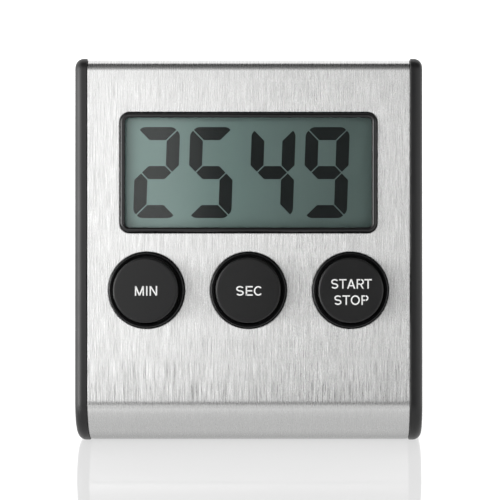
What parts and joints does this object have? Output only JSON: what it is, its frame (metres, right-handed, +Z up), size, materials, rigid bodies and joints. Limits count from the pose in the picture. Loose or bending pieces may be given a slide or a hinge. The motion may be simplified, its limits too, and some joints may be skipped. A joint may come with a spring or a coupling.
{
  "type": "kitchen timer",
  "caption": "Free-standing digital kitchen timer with a leaning steel front, recessed display, round push buttons, rear battery door and magnetic back.",
  "frame": {"origin": "middle of the bounding box at the level of the surface it stands on", "axes": "+Z up, the display and buttons face -Y and lean back, +X to the right as seen from the front"},
  "size_m": [0.065, 0.028, 0.0715],
  "materials": {
    "steel_sheet": "fine vertical brushed grain, satin",
    "side_panel_plastic": "fine moulded texture, dark grey",
    "bezel_plastic": "polished black",
    "button_plastic": "satin black with white printed legends",
    "window": "clear acrylic",
    "lcd_face": "grey-green polariser film",
    "lcd_glass": "clear",
    "lcd_back": "reflective film",
    "white_plastic": "moulded",
    "conductive_rubber": "smooth",
    "circuit_board": "solder mask",
    "epoxy": "glossy drop",
    "component_metal": "drawn can",
    "component_black": "moulded",
    "component_tan": "ceramic",
    "copper_winding": "enamelled copper",
    "screw_steel": "zinc plated",
    "silicone": "soft matte",
    "battery_label": "printed sleeve, plain",
    "plated_contact": "nickel plated",
    "red_insulation": "smooth",
    "black_insulation": "smooth",
    "sounder_brass": "plain sheet",
    "ceramic_disc": "silvered ceramic",
    "magnet": "sintered ferrite"
  },
  "bodies": {
    "case": {"front_shell": "steel_sheet", "left_side_panel": "side_panel_plastic", "right_side_panel": "side_panel_plastic", "front_frame": "bezel_plastic", "display_window": "window", "lcd_front_polariser": "lcd_face", "lcd_cell": "lcd_glass", "lcd_reflector": "lcd_back", "lcd_retainer": "white_plastic", "upper_zebra_strip": "conductive_rubber", "lower_zebra_strip": "conductive_rubber", "circuit_board": "circuit_board", "chip_on_board": "epoxy", "quartz_crystal": "component_metal", "chip_resistors": "component_black", "chip_capacitors": "component_tan", "driver_transistor": "component_black", "boost_coil": "copper_winding", "board_screws": "screw_steel", "keypad_mat": "silicone", "min_key_dome": "silicone", "sec_key_dome": "silicone", "start_key_dome": "silicone", "rear_cover": "side_panel_plastic", "battery": "battery_label", "positive_contact": "plated_contact", "negative_contact": "plated_contact", "contact_spring": "plated_contact", "positive_lead": "red_insulation", "negative_lead": "black_insulation", "sounder_plate": "sounder_brass", "sounder_ceramic": "ceramic_disc", "sounder_leads": "red_insulation", "left_magnet": "magnet", "right_magnet": "magnet", "case_screws": "screw_steel"},
    "min_key": {"min_button": "button_plastic", "min_contact_pill": "conductive_rubber"},
    "sec_key": {"sec_button": "button_plastic", "sec_contact_pill": "conductive_rubber"},
    "start_key": {"start_button": "button_plastic", "start_contact_pill": "conductive_rubber"},
    "battery_door": {"battery_door": "side_panel_plastic"}
  },
  "joints": [
    {"name": "min_press", "type": "slide", "parent": "case", "child": "min_key", "axis": [0, 0.9781, -0.2079], "range_m": [0, 0.0009], "stiffness_N_per_m": 1200, "deforming": ["min_key_dome"]},
    {"name": "sec_press", "type": "slide", "parent": "case", "child": "sec_key", "axis": [0, 0.9781, -0.2079], "range_m": [0, 0.0009], "stiffness_N_per_m": 1200, "deforming": ["sec_key_dome"]},
    {"name": "start_press", "type": "slide", "parent": "case", "child": "start_key", "axis": [0, 0.9781, -0.2079], "range_m": [0, 0.0009], "stiffness_N_per_m": 1200, "deforming": ["start_key_dome"]},
    {"name": "battery_door_hinge", "type": "hinge", "parent": "case", "child": "battery_door", "pos_m": [0, 0.0132, 0.0036], "axis": [-1, 0, 0], "range_deg": [0, 85]}
  ]
}
